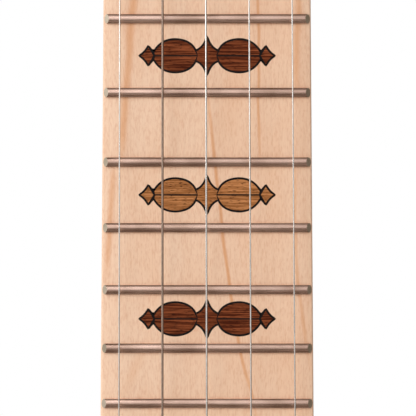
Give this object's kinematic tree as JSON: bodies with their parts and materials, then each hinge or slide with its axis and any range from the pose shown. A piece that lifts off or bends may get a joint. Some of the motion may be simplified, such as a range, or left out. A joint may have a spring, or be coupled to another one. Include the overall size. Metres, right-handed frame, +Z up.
{
  "type": "open-back banjo",
  "caption": "Open-back banjo with a flat maple fingerboard, inlaid wood markers, wooden pot, skin head, hooks and geared tuning pegs.",
  "frame": {"origin": "inside the neck at the nut, where a peghead hanger carries it: the height of the nut's playing edge, on the pot's centre line, 10 mm behind the fingerboard's face", "axes": "+Z up the neck to the peghead, -Y out of the playing side, +X to the treble side"},
  "size_m": [0.3054, 0.0859, 0.9406],
  "materials": {
    "maple": "satin lacquer over figured hard maple",
    "maple_board": "matt sealed maple with fine straight grain",
    "maple_rim": "satin lacquer over bent maple plies",
    "bridge_maple": "bare maple with a dark cap",
    "marker_dark": "oiled dark red-brown inlay with a black outline",
    "marker_light": "oiled mid-brown open-pored inlay with a black outline",
    "bone": "polished bone",
    "fret_nickel": "nickel silver wire, polished crown",
    "plain_string": "drawn plain steel",
    "wound_string": "nickel-wound steel",
    "rod_steel": "turned steel",
    "peg_plate": "nickel plate",
    "hoop_plate": "nickel plate on brass",
    "hook_plate": "nickel plate on steel",
    "peg_button": "cream button moulding on a plated stem",
    "drum_skin": "frosted coated polyester skin"
  },
  "bodies": {
    "body": {"bracket_band": "hook_plate", "bridge": "bridge_maple", "coordinator_rod": "rod_steel", "drum_head": "drum_skin", "fifth_peg_bushing": "peg_plate", "fingerboard": "maple_board", "fret_01": "fret_nickel", "fret_02": "fret_nickel", "fret_03": "fret_nickel", "fret_04": "fret_nickel", "fret_05": "fret_nickel", "fret_06": "fret_nickel", "fret_07": "fret_nickel", "fret_08": "fret_nickel", "fret_09": "fret_nickel", "fret_10": "fret_nickel", "fret_11": "fret_nickel", "fret_12": "fret_nickel", "fret_13": "fret_nickel", "fret_14": "fret_nickel", "fret_15": "fret_nickel", "fret_16": "fret_nickel", "fret_17": "fret_nickel", "fret_18": "fret_nickel", "fret_19": "fret_nickel", "fret_20": "fret_nickel", "fret_21": "fret_nickel", "fret_22": "fret_nickel", "marker_03": "marker_dark", "marker_05": "marker_light", "marker_07": "marker_dark", "marker_10": "marker_light", "marker_12": "marker_dark", "marker_15": "marker_dark", "marker_17": "marker_light", "marker_19": "marker_dark", "neck": "maple", "peg_1_housing": "peg_plate", "peg_2_housing": "peg_plate", "peg_3_housing": "peg_plate", "peg_4_housing": "peg_plate", "rim": "maple_rim", "string_1": "plain_string", "string_2": "plain_string", "string_3": "plain_string", "string_4": "wound_string", "string_5": "plain_string", "string_nut": "bone", "tailpiece": "hoop_plate", "tension_hoop": "hoop_plate"},
    "peg_1_knob": {"peg_1_knob": "peg_button"},
    "peg_1_post": {"peg_1_post": "peg_plate"},
    "peg_2_knob": {"peg_2_knob": "peg_button"},
    "peg_2_post": {"peg_2_post": "peg_plate"},
    "peg_3_knob": {"peg_3_knob": "peg_button"},
    "peg_3_post": {"peg_3_post": "peg_plate"},
    "peg_4_knob": {"peg_4_knob": "peg_button"},
    "peg_4_post": {"peg_4_post": "peg_plate"},
    "fifth_peg": {"fifth_peg": "peg_button"},
    "truss_rod": {"truss_rod": "rod_steel"}
  },
  "joints": [
    {"name": "peg_1_knob_turn", "type": "hinge", "parent": "body", "child": "peg_1_knob", "pos_m": [0.02345, 0.02654, 0.04943], "axis": [0, 0.9703, -0.2419], "continuous": true},
    {"name": "peg_1_post_turn", "type": "hinge", "parent": "body", "child": "peg_1_post", "pos_m": [0.02345, 0.00713, 0.05427], "axis": [0, 0.9703, -0.2419], "continuous": true},
    {"name": "peg_2_knob_turn", "type": "hinge", "parent": "body", "child": "peg_2_knob", "pos_m": [0.02345, 0.03904, 0.09958], "axis": [0, 0.9703, -0.2419], "continuous": true},
    {"name": "peg_2_post_turn", "type": "hinge", "parent": "body", "child": "peg_2_post", "pos_m": [0.02345, 0.01964, 0.10441], "axis": [0, 0.9703, -0.2419], "continuous": true},
    {"name": "peg_3_knob_turn", "type": "hinge", "parent": "body", "child": "peg_3_knob", "pos_m": [-0.01555, 0.03904, 0.09958], "axis": [0, 0.9703, -0.2419], "continuous": true},
    {"name": "peg_3_post_turn", "type": "hinge", "parent": "body", "child": "peg_3_post", "pos_m": [-0.01555, 0.01964, 0.10441], "axis": [0, 0.9703, -0.2419], "continuous": true},
    {"name": "peg_4_knob_turn", "type": "hinge", "parent": "body", "child": "peg_4_knob", "pos_m": [-0.01555, 0.02654, 0.04943], "axis": [0, 0.9703, -0.2419], "continuous": true},
    {"name": "peg_4_post_turn", "type": "hinge", "parent": "body", "child": "peg_4_post", "pos_m": [-0.01555, 0.00713, 0.05427], "axis": [0, 0.9703, -0.2419], "continuous": true},
    {"name": "fifth_peg_turn", "type": "hinge", "parent": "body", "child": "fifth_peg", "pos_m": [-0.02197, -0.0052, -0.152], "axis": [-1, 0, 0], "continuous": true},
    {"name": "truss_rod_turn", "type": "hinge", "parent": "body", "child": "truss_rod", "pos_m": [0.002, -0.0017, 0.015], "axis": [0, 0, 1], "range_deg": [-180, 180]}
  ],
  "couplings": [
    {"joint": "peg_1_post_turn", "follows": "peg_1_knob_turn", "ratio": 0.25},
    {"joint": "peg_2_post_turn", "follows": "peg_2_knob_turn", "ratio": 0.25},
    {"joint": "peg_3_post_turn", "follows": "peg_3_knob_turn", "ratio": 0.25},
    {"joint": "peg_4_post_turn", "follows": "peg_4_knob_turn", "ratio": 0.25}
  ]
}
